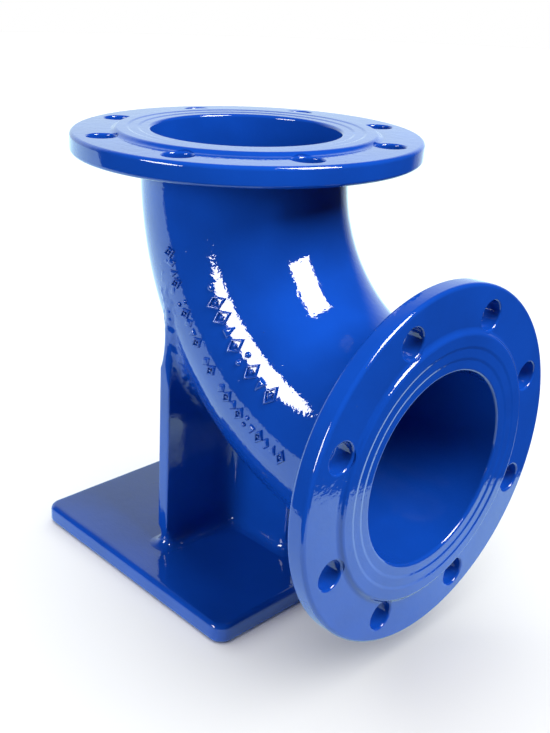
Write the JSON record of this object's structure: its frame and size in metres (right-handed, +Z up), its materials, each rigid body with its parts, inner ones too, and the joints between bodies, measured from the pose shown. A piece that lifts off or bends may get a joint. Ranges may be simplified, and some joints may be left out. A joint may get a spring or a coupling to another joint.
{
  "type": "duckfoot bend",
  "caption": "Right-angle pipe bend with a flange at each end, standing on a square foot plate by a cross of webs; it turns a pipe from vertical to horizontal and carries the load to the ground.",
  "frame": {"origin": "centre of the foot plate's underside, on the upper flange's centre line", "axes": "+Z up, the way the upper flange faces; +X the way the outlet flange faces"},
  "size_m": [0.3625, 0.285, 0.38],
  "materials": {
    "blue_epoxy": "glossy fusion-bonded epoxy, blue, over cast ductile iron"
  },
  "bodies": {
    "root": {"bend_pipe": "blue_epoxy", "upper_neck": "blue_epoxy", "upper_flange": "blue_epoxy", "outlet_neck": "blue_epoxy", "outlet_flange": "blue_epoxy", "foot_plate": "blue_epoxy", "cross_web_near": "blue_epoxy", "cross_web_far": "blue_epoxy", "centre_web_front": "blue_epoxy", "centre_web_back": "blue_epoxy"}
  },
  "joints": []
}
